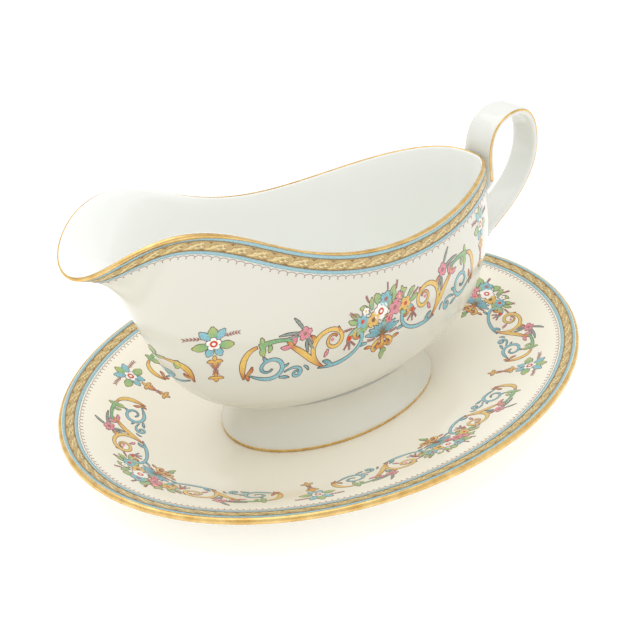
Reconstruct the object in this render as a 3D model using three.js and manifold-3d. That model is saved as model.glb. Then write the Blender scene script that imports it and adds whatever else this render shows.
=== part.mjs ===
// Gravy boat with its loose oval stand.
// Millimetres. +Z is up, +X runs towards the handle, the spout points to -X.
// The origin is the centre of the stand's foot ring, on the table.
import * as THREE from "three";
import { mergeVertices } from "three/addons/utils/BufferGeometryUtils.js";
import Module from "manifold-3d";

// Stand: an oval dish with a foot ring underneath.
const STAND_HALF_LENGTH = 118;
const STAND_HALF_WIDTH = 88;
const STAND_EDGE_HEIGHT = 20.4;
const STAND_EDGE_RADIUS = 1.5;
const STAND_WALL = 3;
const DISH_WIDTH = 50;
const WELL_TOP = 5.2;
const WELL_UNDERSIDE = 1.9;
const RING_INSET = 45;
const RING_WIDTH = 4;
const DISH_CURVE = 0.82 * Math.PI;

// Foot of the boat: a hollow oval pedestal that flares towards the well.
const FOOT_TOP = 24;
const FOOT_TOP_HALF_LENGTH = 45;
const FOOT_TOP_HALF_WIDTH = 25.5;
const FOOT_FLARE_LENGTH = 5.8;
const FOOT_FLARE_WIDTH = 6.8;
const FOOT_WALL = 4;
const FOOT_BAND = 2;

// Bowl: each upright line on it is a cubic curve from the foot to the rim.
const RIM_MIDDLE = -17.1;
const RIM_HALF_LENGTH = 101.5;
// Half widths and heights of the rim at equal steps from the handle round to the spout tip.
const RIM_HALF_WIDTHS = [0, 9, 17.5, 25.5, 31.5, 34, 33.5, 31, 27, 22.8, 17.8, 10.4, 0];
const RIM_HEIGHTS = [85, 86, 86.5, 85.5, 84, 84.5, 89, 99, 112, 118, 114.9, 108.3, 105.2];
const BELLY_LOW = { middle: 0.6, halfLength: 86.5, halfWidth: 37.4, height: 24.6 };
const BELLY_HIGH = { middle: 0.1, halfLength: 89.5, halfWidth: 39 };
// Towards the spout the low belly rises and fills out, and the shoulder narrows to a neck.
const PROW_LIFT = 6;
const PROW_FULLNESS = 0.15;
const NECK_SQUEEZE = 0.2;
const SHOULDER_DROP = 30;
const SHOULDER_DROP_CHANGE = 7.8;
// The lip of the spout curls out by this much close to the rim.
const LIP_FLARE = 13;
const LIP_CURL = 10;
const WALL_AT_FLOOR = 3.4;
const WALL_AT_RIM = 2.6;

// Handle: a flat strap that stands on a land below the rim and returns to the belly.
const UPPER_LAND = { face: 86.2, halfWidth: 7.6, low: 73.5, high: 83 };
const LOWER_LAND = { face: 86.6, halfWidth: 8.4, low: 44.5, high: 54 };
const STRAP_HALF_THICKNESS = 1.9;
const STRAP_CORNER = 1.2;
const STRAP_HALF_WIDTH = 6.5;
const UPPER_SPREAD = 0.5;
const LOWER_SPREAD = 1.3;
const STRAP_PATH = [
  [88.1, 74],
  [88.1, 80],
  [88.1, 85.2],
  [88.7, 90.6],
  [91.2, 95.4],
  [96, 98.6],
  [102.6, 99.5],
  [108.6, 98.2],
  [113.4, 94.8],
  [116.6, 89],
  [118, 82],
  [117.4, 75],
  [114.7, 68.6],
  [110.4, 63],
  [104.6, 58],
  [98, 54],
  [92, 51.2],
  [86.6, 48.8],
];

const AROUND = 72;
const BOWL_ROWS = 12;
const STRAP_ROWS = 44;

const PORCELAIN = 0xf1efe8;

// A smooth curve through evenly spaced values, made from cubic blending pieces.
function blend(before, here, next, after, t) {
  const s = 1 - t;
  return (
    (before * s * s * s +
      here * (3 * t * t * t - 6 * t * t + 4) +
      next * (3 * s * s * s - 6 * s * s + 4) +
      after * t * t * t) /
    6
  );
}

// Value number i of a half outline whose other half is its mirror image.
function mirrored(values, i, sign) {
  const last = values.length - 1;
  if (i < 0) return sign * values[-i];
  if (i > last) return sign * values[2 * last - i];
  return values[i];
}

function control(values, i, sign) {
  const here = mirrored(values, i, sign);
  const bend = mirrored(values, i - 1, sign) - 2 * here + mirrored(values, i + 1, sign);
  return here - bend / 6;
}

// Reads a half outline at an angle from 0 at the handle to a half turn at the spout.
function readOutline(values, angle, sign) {
  const turned = Math.atan2(Math.sin(angle), Math.cos(angle));
  const place = (Math.abs(turned) / Math.PI) * (values.length - 1);
  const i = Math.min(Math.floor(place), values.length - 2);
  const t = place - i;
  const parts = [-1, 0, 1, 2].map((step) => control(values, i + step, sign));
  const value = blend(parts[0], parts[1], parts[2], parts[3], t);
  return sign < 0 && turned < 0 ? -value : value;
}

function oval(halfLength, halfWidth, height, angle) {
  return new THREE.Vector3(halfLength * Math.cos(angle), halfWidth * Math.sin(angle), height);
}

// A point on the outside of the bowl, from 0 at the foot to 1 at the rim.
function bowlPoint(angle, up) {
  const c = Math.cos(angle);
  const s = Math.sin(angle);
  const rimHeight = readOutline(RIM_HEIGHTS, angle, 1);
  const spout = ((1 - c) / 2) ** 3;
  const points = [
    oval(FOOT_TOP_HALF_LENGTH, FOOT_TOP_HALF_WIDTH, FOOT_TOP, angle),
    new THREE.Vector3(
      BELLY_LOW.middle + BELLY_LOW.halfLength * c,
      BELLY_LOW.halfWidth * (1 + PROW_FULLNESS * spout) * s,
      BELLY_LOW.height + PROW_LIFT * spout,
    ),
    new THREE.Vector3(
      BELLY_HIGH.middle + BELLY_HIGH.halfLength * c,
      BELLY_HIGH.halfWidth * (1 - NECK_SQUEEZE * spout) * s,
      rimHeight - SHOULDER_DROP - SHOULDER_DROP_CHANGE * c,
    ),
    new THREE.Vector3(
      RIM_MIDDLE + RIM_HALF_LENGTH * c + LIP_FLARE * spout,
      readOutline(RIM_HALF_WIDTHS, angle, -1),
      rimHeight,
    ),
  ];
  const down = 1 - up;
  const weights = [down ** 3, 3 * down * down * up, 3 * down * up * up, up ** 3];
  const point = new THREE.Vector3();
  points.forEach((p, i) => point.addScaledVector(p, weights[i]));
  point.x -= LIP_FLARE * spout * up ** LIP_CURL;
  return point;
}

// Outward direction and upward direction of the bowl's outside.
function bowlDirections(angle, up) {
  const step = 1e-3;
  const low = Math.max(up - step, 0);
  const high = Math.min(up + step, 1);
  const rise = bowlPoint(angle, high).sub(bowlPoint(angle, low)).normalize();
  const along = bowlPoint(angle + step, up).sub(bowlPoint(angle - step, up));
  const out = along.cross(rise).normalize();
  return { out, rise };
}

function bowlInside(angle, up, share) {
  const wall = WALL_AT_FLOOR + (WALL_AT_RIM - WALL_AT_FLOOR) * up;
  const { out } = bowlDirections(angle, up);
  return bowlPoint(angle, up).addScaledVector(out, -wall * share);
}

function ring(pointAt) {
  const points = [];
  for (let i = 0; i < AROUND; i += 1) {
    points.push(pointAt((2 * Math.PI * i) / AROUND));
  }
  return points;
}

function middleOf(points) {
  const middle = new THREE.Vector3();
  points.forEach((p) => middle.add(p));
  return middle.divideScalar(points.length);
}

// Skins a row of rings. The ends are capped, or joined to each other when looped.
function skin(rings, looped) {
  const count = rings[0].length;
  const positions = [];
  const faces = [];
  rings.flat().forEach((p) => positions.push(p.x, p.y, p.z));
  const last = rings.length - 1;
  const bands = looped ? rings.length : last;
  for (let j = 0; j < bands; j += 1) {
    const here = j * count;
    const next = ((j + 1) % rings.length) * count;
    for (let i = 0; i < count; i += 1) {
      const k = (i + 1) % count;
      faces.push(here + i, here + k, next + k, here + i, next + k, next + i);
    }
  }
  if (!looped) {
    const start = middleOf(rings[0]);
    const end = middleOf(rings[last]);
    const startIndex = rings.length * count;
    positions.push(start.x, start.y, start.z, end.x, end.y, end.z);
    for (let i = 0; i < count; i += 1) {
      const k = (i + 1) % count;
      faces.push(startIndex, k, i);
      faces.push(startIndex + 1, last * count + i, last * count + k);
    }
  }
  const geometry = new THREE.BufferGeometry();
  geometry.setAttribute("position", new THREE.Float32BufferAttribute(positions, 3));
  geometry.setIndex(faces);
  return facingOut(geometry);
}

function signedVolume(geometry) {
  const position = geometry.getAttribute("position");
  const index = geometry.getIndex();
  const corners = [new THREE.Vector3(), new THREE.Vector3(), new THREE.Vector3()];
  let total = 0;
  for (let i = 0; i < index.count; i += 3) {
    corners.forEach((corner, n) => corner.fromBufferAttribute(position, index.getX(i + n)));
    total += corners[0].dot(corners[1].clone().cross(corners[2])) / 6;
  }
  return total;
}

function facingOut(geometry) {
  if (signedVolume(geometry) < 0) {
    const index = geometry.getIndex();
    for (let i = 0; i < index.count; i += 3) {
      const second = index.getX(i + 1);
      index.setX(i + 1, index.getX(i + 2));
      index.setX(i + 2, second);
    }
  }
  geometry.computeVertexNormals();
  return geometry;
}

const wasm = await Module();
wasm.setup();

function toSolid(geometry) {
  const bare = new THREE.BufferGeometry();
  const flat = geometry.index ? geometry.toNonIndexed() : geometry;
  bare.setAttribute("position", flat.getAttribute("position").clone());
  const merged = mergeVertices(bare, 1e-4);
  const mesh = new wasm.Mesh({
    numProp: 3,
    vertProperties: new Float32Array(merged.getAttribute("position").array),
    triVerts: new Uint32Array(merged.getIndex().array),
  });
  mesh.merge();
  return new wasm.Manifold(mesh);
}

function toGeometry(solid) {
  const mesh = solid.getMesh();
  const geometry = new THREE.BufferGeometry();
  geometry.setAttribute("position", new THREE.Float32BufferAttribute(mesh.vertProperties, 3));
  geometry.setIndex(Array.from(mesh.triVerts));
  geometry.computeVertexNormals();
  return geometry;
}

function standRing(inset, height) {
  return ring((angle) => {
    return oval(STAND_HALF_LENGTH - inset, STAND_HALF_WIDTH - inset, height, angle);
  });
}

// Height of the dish's upper face at a distance in from the edge.
function dishHeight(inset) {
  const span = DISH_WIDTH - STAND_EDGE_RADIUS;
  const share = (DISH_WIDTH - inset) / span;
  const lift = (1 - Math.cos(DISH_CURVE * share)) / (1 - Math.cos(DISH_CURVE));
  return WELL_TOP + (STAND_EDGE_HEIGHT - WELL_TOP) * lift;
}

function makeStand() {
  const rings = [];
  for (let inset = DISH_WIDTH; inset > 2; inset -= 6) {
    rings.push(standRing(inset, dishHeight(inset)));
  }
  for (const degrees of [75, 35, 0, -35, -75]) {
    const turn = THREE.MathUtils.degToRad(degrees);
    const inset = STAND_EDGE_RADIUS * (1 - Math.cos(turn));
    const height = STAND_EDGE_HEIGHT - STAND_EDGE_RADIUS * (1 - Math.sin(turn));
    rings.push(standRing(inset, height));
  }
  for (let inset = 8; inset < RING_INSET - 1; inset += 6) {
    rings.push(standRing(inset, dishHeight(inset) - STAND_WALL));
  }
  rings.push(standRing(RING_INSET - 0.5, dishHeight(RING_INSET) - STAND_WALL - 0.3));
  rings.push(standRing(RING_INSET, 0));
  rings.push(standRing(RING_INSET + RING_WIDTH, 0));
  rings.push(standRing(RING_INSET + RING_WIDTH + 0.8, WELL_UNDERSIDE));
  return skin(rings, false);
}

function footRing(rise, inset) {
  const bandShare = FOOT_BAND / (FOOT_TOP - WELL_TOP);
  const above = Math.max(rise - bandShare, 0) / (1 - bandShare);
  const flare = (1 - above) ** 2;
  const halfLength = FOOT_TOP_HALF_LENGTH + FOOT_FLARE_LENGTH * flare - inset;
  const halfWidth = FOOT_TOP_HALF_WIDTH + FOOT_FLARE_WIDTH * flare - inset;
  const height = WELL_TOP + (FOOT_TOP - WELL_TOP) * rise;
  return ring((angle) => oval(halfLength, halfWidth, height, angle));
}

function makeFoot() {
  const steps = [0, 0.11, 0.25, 0.4, 0.6, 0.8, 1];
  const outside = steps.map((rise) => footRing(rise, 0));
  const inside = [...steps].reverse().map((rise) => footRing(rise, FOOT_WALL));
  return skin([...outside, ...inside], true);
}

function makeBowlShell() {
  const rings = [];
  for (let j = 0; j <= BOWL_ROWS; j += 1) {
    rings.push(ring((angle) => bowlPoint(angle, j / BOWL_ROWS)));
  }
  for (const degrees of [45, 90, 135]) {
    const turn = THREE.MathUtils.degToRad(degrees);
    rings.push(
      ring((angle) => {
        const { out, rise } = bowlDirections(angle, 1);
        const half = WALL_AT_RIM / 2;
        return bowlPoint(angle, 1)
          .addScaledVector(out, half * (Math.cos(turn) - 1))
          .addScaledVector(rise, half * Math.sin(turn));
      }),
    );
  }
  for (let j = BOWL_ROWS; j >= 0; j -= 1) {
    rings.push(ring((angle) => bowlInside(angle, j / BOWL_ROWS, 1)));
  }
  return skin(rings, false);
}

// Everything inside the middle of the bowl's wall.
function makeBowlCore() {
  const rings = [];
  for (let j = 0; j <= BOWL_ROWS; j += 1) {
    rings.push(ring((angle) => bowlInside(angle, j / BOWL_ROWS, 0.5)));
  }
  return skin(rings, false);
}

function makeLand({ face, halfWidth, low, high }) {
  const depth = 9;
  const geometry = new THREE.BoxGeometry(depth, 2 * halfWidth, high - low);
  geometry.translate(face - depth / 2, 0, (low + high) / 2);
  return toSolid(geometry);
}

// The bowl carries two small flat lands that the handle is joined to.
function makeBowl() {
  const core = toSolid(makeBowlCore());
  const lands = makeLand(UPPER_LAND).add(makeLand(LOWER_LAND));
  return toGeometry(toSolid(makeBowlShell()).add(lands.subtract(core)));
}

// A point on the strap's middle line, with the ends held in place.
function strapPoint(share) {
  const last = STRAP_PATH.length - 1;
  const at = (i) => {
    const here = STRAP_PATH[Math.min(Math.max(i, 0), last)];
    if (i <= 0 || i >= last) {
      const inner = STRAP_PATH[i <= 0 ? 1 : last - 1];
      const beyond = i < 0 || i > last ? 1 : 0;
      return here.map((value, n) => value + beyond * (value - inner[n]));
    }
    return here.map((value, n) => {
      const bend = STRAP_PATH[i - 1][n] - 2 * value + STRAP_PATH[i + 1][n];
      return value - bend / 6;
    });
  };
  const place = share * last;
  const i = Math.min(Math.floor(place), last - 1);
  const t = place - i;
  const parts = [at(i - 1), at(i), at(i + 1), at(i + 2)];
  const [x, z] = [0, 1].map((n) => blend(parts[0][n], parts[1][n], parts[2][n], parts[3][n], t));
  return new THREE.Vector3(x, 0, z);
}

// Outline of the strap's section: width along Y, thickness across the strap.
function strapOutline(halfWidth) {
  const outline = [];
  const corners = [
    [1, 1, 0],
    [-1, 1, 90],
    [-1, -1, 180],
    [1, -1, 270],
  ];
  for (const [side, face, from] of corners) {
    for (const degrees of [0, 45, 90]) {
      const turn = THREE.MathUtils.degToRad(from + degrees);
      outline.push([
        side * (halfWidth - STRAP_CORNER) + STRAP_CORNER * Math.cos(turn),
        face * (STRAP_HALF_THICKNESS - STRAP_CORNER) + STRAP_CORNER * Math.sin(turn),
      ]);
    }
  }
  return outline;
}

// The strap widens where it meets the bowl.
function strapHalfWidth(share) {
  const root = THREE.MathUtils.smoothstep(0.45 - share, 0, 0.35);
  const tip = Math.max((share - 0.7) / 0.3, 0) ** 2;
  return STRAP_HALF_WIDTH + UPPER_SPREAD * root + LOWER_SPREAD * tip;
}

function makeHandle() {
  const rings = [];
  for (let j = 0; j <= STRAP_ROWS; j += 1) {
    const share = j / STRAP_ROWS;
    const before = strapPoint(Math.max(share - 1e-3, 0));
    const after = strapPoint(Math.min(share + 1e-3, 1));
    const along = after.sub(before).normalize();
    const across = new THREE.Vector3(along.z, 0, -along.x);
    const centre = strapPoint(share);
    const points = strapOutline(strapHalfWidth(share)).map(([width, thick]) => {
      const point = centre.clone().addScaledVector(across, thick);
      point.y = width;
      if (j === STRAP_ROWS) {
        point.addScaledVector(along, (LOWER_LAND.face - point.x) / along.x);
      }
      point.x = Math.max(point.x, j < STRAP_ROWS / 2 ? UPPER_LAND.face : LOWER_LAND.face);
      return point;
    });
    rings.push(points);
  }
  return skin(rings, false);
}

function piece(name, geometry) {
  const material = new THREE.MeshStandardMaterial({
    color: PORCELAIN,
    roughness: 0.12,
    metalness: 0,
  });
  const mesh = new THREE.Mesh(geometry, material);
  mesh.name = name;
  return mesh;
}

const gravyBoat = new THREE.Group();
gravyBoat.name = "gravy_boat";
gravyBoat.add(piece("underplate", makeStand()));
gravyBoat.add(piece("boat_foot", makeFoot()));
gravyBoat.add(piece("boat_bowl", makeBowl()));
gravyBoat.add(piece("boat_handle", makeHandle()));

export default gravyBoat;
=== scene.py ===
"""A bone china gravy boat on its loose oval stand, with gilt edges and enamel ornament."""

import math

import bmesh
import bpy
import numpy as np
from mathutils import Matrix, Vector


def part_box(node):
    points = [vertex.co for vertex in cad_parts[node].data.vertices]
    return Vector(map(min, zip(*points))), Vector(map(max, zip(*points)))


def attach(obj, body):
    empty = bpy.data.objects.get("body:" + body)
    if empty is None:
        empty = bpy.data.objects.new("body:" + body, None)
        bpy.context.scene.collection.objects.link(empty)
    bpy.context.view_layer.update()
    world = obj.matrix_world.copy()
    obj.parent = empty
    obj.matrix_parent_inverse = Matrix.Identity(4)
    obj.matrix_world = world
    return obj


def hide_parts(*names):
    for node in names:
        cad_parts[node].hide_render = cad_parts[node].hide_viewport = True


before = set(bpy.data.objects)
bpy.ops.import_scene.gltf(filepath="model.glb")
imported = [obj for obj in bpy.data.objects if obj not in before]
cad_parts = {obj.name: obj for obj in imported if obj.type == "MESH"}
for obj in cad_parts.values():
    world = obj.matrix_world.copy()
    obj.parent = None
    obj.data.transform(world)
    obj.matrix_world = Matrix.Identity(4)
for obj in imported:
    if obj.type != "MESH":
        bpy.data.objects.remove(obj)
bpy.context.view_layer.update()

MM = 0.001


# ---- sizes, in millimetres
stand_low, stand_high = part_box("underplate")
foot_low, foot_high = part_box("boat_foot")

# Stand: an oval dish with a foot ring underneath.
STAND_HALF_LENGTH = (stand_high[0] - stand_low[0]) / 2 / MM
STAND_HALF_WIDTH = (stand_high[1] - stand_low[1]) / 2 / MM
STAND_EDGE_HEIGHT = 20.4
STAND_EDGE_RADIUS = 1.5
STAND_WALL = 3.0
DISH_WIDTH = 50.0
WELL_TOP = foot_low[2] / MM
WELL_UNDERSIDE = 1.9
RING_INSET = 45.0
RING_WIDTH = 4.0
# The dish climbs through this much of a cosine wave.
DISH_CURVE = 0.82 * math.pi

# Foot of the boat: a hollow oval pedestal that flares towards the well.
FOOT_TOP = foot_high[2] / MM
FOOT_SPAN = FOOT_TOP - WELL_TOP
FOOT_TOP_HALF_LENGTH = 45.0
FOOT_TOP_HALF_WIDTH = 25.5
FOOT_FLARE_LENGTH = 5.8
FOOT_FLARE_WIDTH = 6.8
FOOT_WALL = 4.0
# The foot is upright up to this height, and spreads under the bowl in a small fillet.
FOOT_BAND = 2.0
FOOT_FILLET = 2.5
FOOT_FILLET_SPREAD = 1.6
# The top of the foot reaches this far into the bowl.
FOOT_OVERLAP = 0.9

# Bowl: each upright line on it is a cubic curve from the foot to the rim.
RIM_MIDDLE = -17.1
RIM_HALF_LENGTH = 101.5
# Half widths and heights of the rim at equal steps from the handle round to the spout tip.
RIM_HALF_WIDTHS = [0, 9, 17.5, 25.5, 31.5, 34, 33.5, 31, 27, 22.8, 17.8, 10.4, 0]
RIM_HEIGHTS = [85, 86, 86.5, 85.5, 84, 84.5, 89, 99, 112, 118, 114.9, 108.3, 105.2]
BELLY_LOW = {"middle": 0.6, "half_length": 86.5, "half_width": 37.4, "height": 24.6}
BELLY_HIGH = {"middle": 0.1, "half_length": 89.5, "half_width": 39.0}
# Towards the spout the low belly rises and fills out, and the shoulder narrows to a neck.
PROW_LIFT = 6.0
PROW_FULLNESS = 0.15
NECK_SQUEEZE = 0.2
SHOULDER_DROP = 30.0
SHOULDER_DROP_CHANGE = 7.8
# The lip of the spout curls out by this much, and the higher the curl the nearer the rim.
LIP_FLARE = 13.0
LIP_CURL = 10
WALL_AT_FLOOR = 3.4
WALL_AT_RIM = 2.6
LIP_THICKNESS = 1.8
LIP_ROUND = LIP_THICKNESS / 2
# The wall thins to the lip over this share of the way up.
LIP_TAPER = 0.1

# Handle: a flat strap from below the rim, up and over, and back to the belly, as x and z.
STRAP_HALF_THICKNESS = 1.9
STRAP_HALF_WIDTH = 6.5
STRAP_STEPS = 150
STRAP_PATH = [
    (88.1, 74), (88.1, 80), (88.1, 85.2), (88.7, 90.6), (91.2, 95.4), (96, 98.6),
    (102.6, 99.5), (108.6, 98.2), (113.4, 94.8), (116.6, 89), (118, 82), (117.4, 75),
    (114.7, 68.6), (110.4, 63), (104.6, 58), (98, 54), (92, 51.2), (86.6, 48.8),
]

# Small steps that directions are measured over: radians, millimetres, share of the way.
SMALL_TURN = 1e-3
SMALL_STEP = 1e-2
SMALL_SHARE = 1e-3
# Vertices round the stand and the bowl, round the foot and round the strap.
AROUND = 360
FOOT_AROUND = 288
STRAP_AROUND = 48


# ---- surfaces
def blend(before, here, after, later, t):
    """One piece of a smooth curve through evenly spaced controls."""
    s = 1 - t
    return (
        before * s**3 + here * (3 * t**3 - 6 * t**2 + 4)
        + after * (3 * s**3 - 6 * s**2 + 4) + later * t**3
    ) / 6


def read_outline(values, angle, sign):
    """Reads half an outline, whose other half mirrors it, at angles from the handle."""
    last = len(values) - 1

    def mirrored(i):
        flip = 1
        if i < 0:
            i, flip = -i, flip * sign
        if i > last:
            i, flip = 2 * last - i, flip * sign
        return flip * values[i]

    controls = []
    for i in range(-1, last + 2):
        bend = mirrored(i - 1) - 2 * mirrored(i) + mirrored(i + 1)
        controls.append(mirrored(i) - bend / 6)
    controls = np.array(controls)
    turned = np.arctan2(np.sin(angle), np.cos(angle))
    place = np.abs(turned) / math.pi * last
    i = np.minimum(place.astype(int), last - 1)
    value = blend(controls[i], controls[i + 1], controls[i + 2], controls[i + 3], place - i)
    return np.where((sign < 0) & (turned < 0), -value, value)


def paired(first, second):
    """Both as arrays of the same shape."""
    return np.broadcast_arrays(np.asarray(first, float), np.asarray(second, float))


def bowl_point(angle, up):
    """The outside of the bowl, from 0 at the foot to 1 at the rim."""
    angle, up = paired(angle, up)
    c, s = np.cos(angle), np.sin(angle)
    height = read_outline(RIM_HEIGHTS, angle, 1)
    spout = ((1 - c) / 2) ** 3
    level = np.zeros_like(c)
    points = [
        (FOOT_TOP_HALF_LENGTH * c, FOOT_TOP_HALF_WIDTH * s, level + FOOT_TOP),
        (
            BELLY_LOW["middle"] + BELLY_LOW["half_length"] * c,
            BELLY_LOW["half_width"] * (1 + PROW_FULLNESS * spout) * s,
            BELLY_LOW["height"] + PROW_LIFT * spout,
        ),
        (
            BELLY_HIGH["middle"] + BELLY_HIGH["half_length"] * c,
            BELLY_HIGH["half_width"] * (1 - NECK_SQUEEZE * spout) * s,
            height - SHOULDER_DROP - SHOULDER_DROP_CHANGE * c,
        ),
        (
            RIM_MIDDLE + RIM_HALF_LENGTH * c + LIP_FLARE * spout,
            read_outline(RIM_HALF_WIDTHS, angle, -1),
            height,
        ),
    ]
    down = 1 - up
    weights = [down**3, 3 * down**2 * up, 3 * down * up**2, up**3]
    point = sum(w[..., None] * np.stack(p, -1) for w, p in zip(weights, points))
    point[..., 0] -= LIP_FLARE * spout * up**LIP_CURL
    return point


def unit(vectors):
    return vectors / np.maximum(np.linalg.norm(vectors, axis=-1, keepdims=True), 1e-9)


def bowl_frame(angle, up):
    """Point, outward direction and upward direction on the outside of the bowl."""
    low = np.maximum(up - SMALL_SHARE, 0)
    high = np.minimum(up + SMALL_SHARE, 1)
    rise = unit(bowl_point(angle, high) - bowl_point(angle, low))
    along = bowl_point(angle + SMALL_TURN, up) - bowl_point(angle - SMALL_TURN, up)
    return bowl_point(angle, up), unit(np.cross(along, rise)), rise


# How far up the bowl a place is, by its angle and its distance down from the rim.
LONGEST_DROP = 125
DROP_STEP = 0.5
TABLE_UPS = 241
TABLE_ANGLES = np.linspace(-math.pi, math.pi, 1441)
TABLE_DROPS = np.arange(0, LONGEST_DROP, DROP_STEP)


def make_drop_table():
    ups = np.linspace(0, 1, TABLE_UPS)
    grid = bowl_point(TABLE_ANGLES[:, None], ups[None, :])
    lengths = np.linalg.norm(np.diff(grid, axis=1), axis=2)
    drops = np.concatenate([np.zeros((len(grid), 1)), np.cumsum(lengths[:, ::-1], 1)], 1)
    return np.array([np.interp(TABLE_DROPS, row, ups[::-1]) for row in drops])


DROP_TABLE = make_drop_table()


def read_table(table, row, column):
    """Reads a table between its entries, or at its edge if the place is outside it."""
    row, column = np.clip(row, 0, len(table) - 1), np.clip(column, 0, len(table[0]) - 1)
    i = np.minimum(row.astype(int), len(table) - 2)
    j = np.minimum(column.astype(int), len(table[0]) - 2)
    a, b = row - i, column - j
    here = table[i, j] * (1 - b) + table[i, j + 1] * b
    after = table[i + 1, j] * (1 - b) + table[i + 1, j + 1] * b
    return here * (1 - a) + after * a


def up_at(angle, drop):
    turns = np.mod(angle + math.pi, 2 * math.pi) / (2 * math.pi)
    return read_table(DROP_TABLE, turns * (len(TABLE_ANGLES) - 1), drop / DROP_STEP)


def bowl_skin(angle, drop):
    """Point and outward direction by distance down from the rim, or over it if negative."""
    angle, drop = paired(angle, drop)
    up = up_at(angle, np.maximum(drop, 0))
    point, out, rise = bowl_frame(angle, up)
    turn = np.clip(-drop / LIP_ROUND, 0, math.pi)[..., None]
    normal = out * np.cos(turn) + rise * np.sin(turn)
    return over_lip(point, out, rise, turn), normal


def over_lip(point, out, rise, turn):
    """The rounded lip, by how far it has turned from the outside."""
    return point + out * LIP_ROUND * (np.cos(turn) - 1) + rise * LIP_ROUND * np.sin(turn)


def dish_height(inset):
    """The upper face of the stand, by distance in from its edge."""
    share = (DISH_WIDTH - inset) / (DISH_WIDTH - STAND_EDGE_RADIUS)
    share = np.clip(share, 0, 1)
    lift = (1 - np.cos(DISH_CURVE * share)) / (1 - math.cos(DISH_CURVE))
    return WELL_TOP + (STAND_EDGE_HEIGHT - WELL_TOP) * lift


def stand_point(angle, inset, height):
    x = (STAND_HALF_LENGTH - inset) * np.cos(angle)
    y = (STAND_HALF_WIDTH - inset) * np.sin(angle)
    return np.stack(np.broadcast_arrays(x, y, height), -1)


def stand_profile(drop):
    """Inset and height by distance from the outermost line, positive over the top."""
    quarter = STAND_EDGE_RADIUS * math.pi / 2
    turn = np.clip(drop / STAND_EDGE_RADIUS, -math.pi / 2, math.pi / 2)
    beyond = np.maximum(np.abs(drop) - quarter, 0)
    inset = STAND_EDGE_RADIUS * (1 - np.cos(turn)) + beyond
    edge = STAND_EDGE_HEIGHT - STAND_EDGE_RADIUS * (1 - np.sin(turn))
    face = np.where(drop > 0, dish_height(inset), dish_height(inset) - STAND_WALL)
    return inset, np.where(beyond > 0, face, edge)


def skin_frame(surface, angle, place):
    """Point and outward direction on a surface given by angle and place across it."""
    angle, place = paired(angle, place)
    around = surface(angle + SMALL_TURN, place) - surface(angle - SMALL_TURN, place)
    across = surface(angle, place + SMALL_STEP) - surface(angle, place - SMALL_STEP)
    return surface(angle, place), unit(np.cross(around, across))


def stand_skin(angle, drop):
    """The outside of the stand by distance in from its outermost line."""
    return skin_frame(lambda a, d: stand_point(a, *stand_profile(d)), angle, drop)


def foot_point(angle, rise):
    above = np.clip((rise - FOOT_BAND) / (FOOT_SPAN - FOOT_BAND), 0, 1)
    flare = (1 - above) ** 2
    fillet = np.clip((rise - FOOT_SPAN + FOOT_FILLET) / FOOT_FILLET, 0, 1.4) ** 3
    spread = FOOT_FILLET_SPREAD * fillet
    x = (FOOT_TOP_HALF_LENGTH + FOOT_FLARE_LENGTH * flare + spread) * np.cos(angle)
    y = (FOOT_TOP_HALF_WIDTH + FOOT_FLARE_WIDTH * flare + spread) * np.sin(angle)
    return np.stack(np.broadcast_arrays(x, y, WELL_TOP + rise), -1)


def foot_skin(angle, rise):
    """The outside of the foot by height above the well."""
    return skin_frame(foot_point, angle, rise)


# ---- meshes
# Material slot and body of everything on one part of the object.
STAND = ("stand_glaze", "stand")
FOOT = ("foot_glaze", "boat")
BOWL = ("bowl_glaze", "boat")
HANDLE = ("handle_glaze", "boat")


def make_object(name, vertices, faces, materials, slot, body, replaced=()):
    mesh = bpy.data.meshes.new(name)
    mesh.from_pydata((np.asarray(vertices) * MM).tolist(), [], faces)
    piece = bpy.data.objects.new(name, mesh)
    bpy.context.collection.objects.link(piece)
    for material in materials:
        mesh.materials.append(material)
    work = bmesh.new()
    work.from_mesh(mesh)
    bmesh.ops.recalc_face_normals(work, faces=work.faces)
    work.to_mesh(mesh)
    work.free()
    mesh.polygons.foreach_set("use_smooth", [True] * len(mesh.polygons))
    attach(piece, body)
    if replaced:
        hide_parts(*replaced)
    return piece


def closed_skin(rings, looped):
    """Vertices and faces over a row of rings, capped at its ends unless it is looped."""
    total, count = len(rings), len(rings[0])
    vertices = np.concatenate(rings)
    faces = []
    for j in range(total if looped else total - 1):
        here, there = j * count, (j + 1) % total * count
        for i in range(count):
            k = (i + 1) % count
            faces.append((here + i, here + k, there + k, there + i))
    if not looped:
        last = (total - 1) * count
        vertices = np.concatenate([vertices, [rings[0].mean(0)], [rings[-1].mean(0)]])
        for i in range(count):
            k = (i + 1) % count
            faces.append((total * count, k, i))
            faces.append((total * count + 1, last + i, last + k))
    return vertices, faces


def ring_object(name, rings, looped, *rest):
    return make_object(name, *closed_skin(rings, looped), *rest)


def angles(count):
    return np.linspace(0, 2 * math.pi, count, endpoint=False)


BAND_STEPS = 720
BAND_LIFT = 0.06
BAND_SINK = 0.12


def skin_lines(drops):
    """Lines round a surface, each as angles and a distance across the surface."""
    return [(angles(BAND_STEPS), drop) for drop in drops]


def course_lines(course, downs):
    """Lines that run side by side with a course, each at its distance down from it."""
    along = np.linspace(0, course.girth, BAND_STEPS, endpoint=False)
    return [course.place(along, down) for down in downs]


def band(name, skin, lines, material, slot, body, lift=BAND_LIFT):
    """A thin closed strip that runs all the way round a surface, through the given lines."""
    over, under = [], []
    for angle, drop in lines:
        point, normal = skin(angle, drop)
        over.append(point + normal * lift)
        under.append(point - normal * BAND_SINK)
    ring_object(name, over + under[::-1], True, [material], slot, body)


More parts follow.
